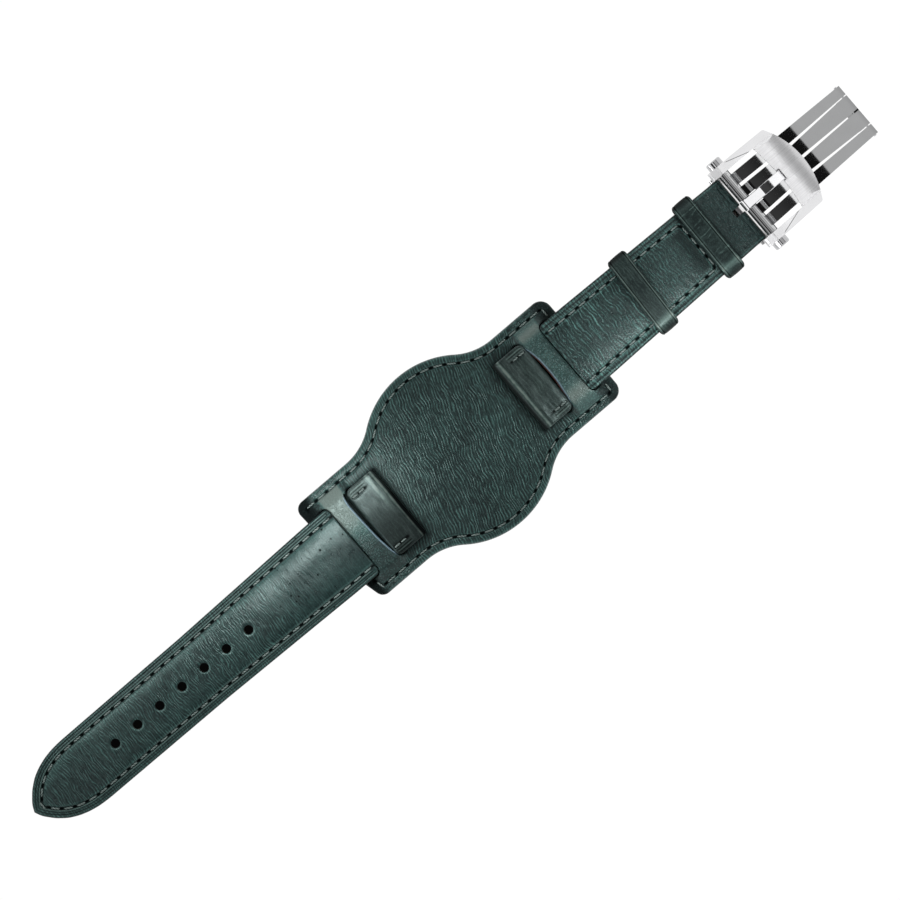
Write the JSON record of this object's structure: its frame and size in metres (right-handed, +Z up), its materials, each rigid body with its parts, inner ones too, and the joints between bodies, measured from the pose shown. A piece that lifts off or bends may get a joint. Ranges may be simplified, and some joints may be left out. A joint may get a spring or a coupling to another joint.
{
  "type": "bund watch strap",
  "caption": "Leather watch strap with a wide pad under the watch, stitched and padded halves, keepers, and a folding steel clasp with side push buttons.",
  "frame": {"origin": "middle of the pad's round part, on its underside", "axes": "+X along the strap towards the clasp, +Z up from the underside, Y across the strap"},
  "size_m": [0.2599, 0.0454, 0.0095],
  "materials": {
    "leather": "dark blue-green pull-up leather, waxed",
    "lining": "matt lining leather",
    "padding": "felt padding inside the halves",
    "thread": "waxed dark thread",
    "polished_steel": "polished stainless steel",
    "brushed_steel": "finely brushed stainless steel",
    "spring_steel": "spring steel"
  },
  "bodies": {
    "pad": {"pad_top": "leather", "pad_lining": "lining", "pad_thread": "thread", "long_end_loop": "leather", "short_end_loop": "leather", "long_loop_thread": "thread", "short_loop_thread": "thread"},
    "long_half": {"long_top": "leather", "long_lining": "lining", "long_filler": "padding", "long_thread": "thread"},
    "short_half": {"short_top": "leather", "short_lining": "lining", "short_filler": "padding", "short_thread": "thread", "fixed_keeper": "leather"},
    "sliding_keeper": {"free_keeper": "leather"},
    "clasp_base": {"base_blade": "polished_steel", "far_hinge_pin": "polished_steel", "spring_bar_tube": "polished_steel", "spring_bar_spring": "spring_steel"},
    "bar_tip_left": {"spring_bar_tip_left": "polished_steel"},
    "bar_tip_right": {"spring_bar_tip_right": "polished_steel"},
    "clasp_fold": {"fold_blade": "polished_steel", "pivot_pin": "polished_steel"},
    "frame": {"buckle_frame": "brushed_steel", "pusher_spring_left": "spring_steel", "pusher_spring_right": "spring_steel"},
    "tang": {"tang": "polished_steel"},
    "button_left": {"pusher_left": "polished_steel"},
    "button_right": {"pusher_right": "polished_steel"}
  },
  "joints": [
    {"name": "long_bend", "type": "hinge", "parent": "pad", "child": "long_half", "pos_m": [-0.041, 0, 0.004], "axis": [0, -1, 0], "range_deg": [-35, 75]},
    {"name": "short_bend", "type": "hinge", "parent": "pad", "child": "short_half", "pos_m": [0.041, 0, 0.004], "axis": [0, 1, 0], "range_deg": [-35, 75]},
    {"name": "keeper_slide", "type": "slide", "parent": "short_half", "child": "sliding_keeper", "axis": [1, 0, 0], "range_m": [-0.007, 0.013]},
    {"name": "clasp_swing", "type": "hinge", "parent": "short_half", "child": "clasp_base", "pos_m": [0.08805, 0, 0.0014], "axis": [0, 1, 0], "range_deg": [-30, 40]},
    {"name": "bar_tip_left_press", "type": "slide", "parent": "clasp_base", "child": "bar_tip_left", "axis": [0, -1, 0], "range_m": [0, 0.001], "stiffness_N_per_m": 800},
    {"name": "bar_tip_right_press", "type": "slide", "parent": "clasp_base", "child": "bar_tip_right", "axis": [0, 1, 0], "range_m": [0, 0.001], "stiffness_N_per_m": 800},
    {"name": "clasp_open", "type": "hinge", "parent": "clasp_base", "child": "clasp_fold", "pos_m": [0.125, 0, 0.00095], "axis": [0, 1, 0], "range_deg": [0, 170]},
    {"name": "frame_lift", "type": "hinge", "parent": "clasp_fold", "child": "frame", "pos_m": [0.0909, 0, 0.0043], "axis": [0, -1, 0], "range_deg": [0, 60]},
    {"name": "tang_lift", "type": "hinge", "parent": "frame", "child": "tang", "pos_m": [0.0909, 0, 0.0043], "axis": [0, -1, 0], "range_deg": [0, 100]},
    {"name": "button_left_press", "type": "slide", "parent": "frame", "child": "button_left", "axis": [0, -1, 0], "range_m": [0, 0.0008], "stiffness_N_per_m": 1500},
    {"name": "button_right_press", "type": "slide", "parent": "frame", "child": "button_right", "axis": [0, 1, 0], "range_m": [0, 0.0008], "stiffness_N_per_m": 1500}
  ]
}
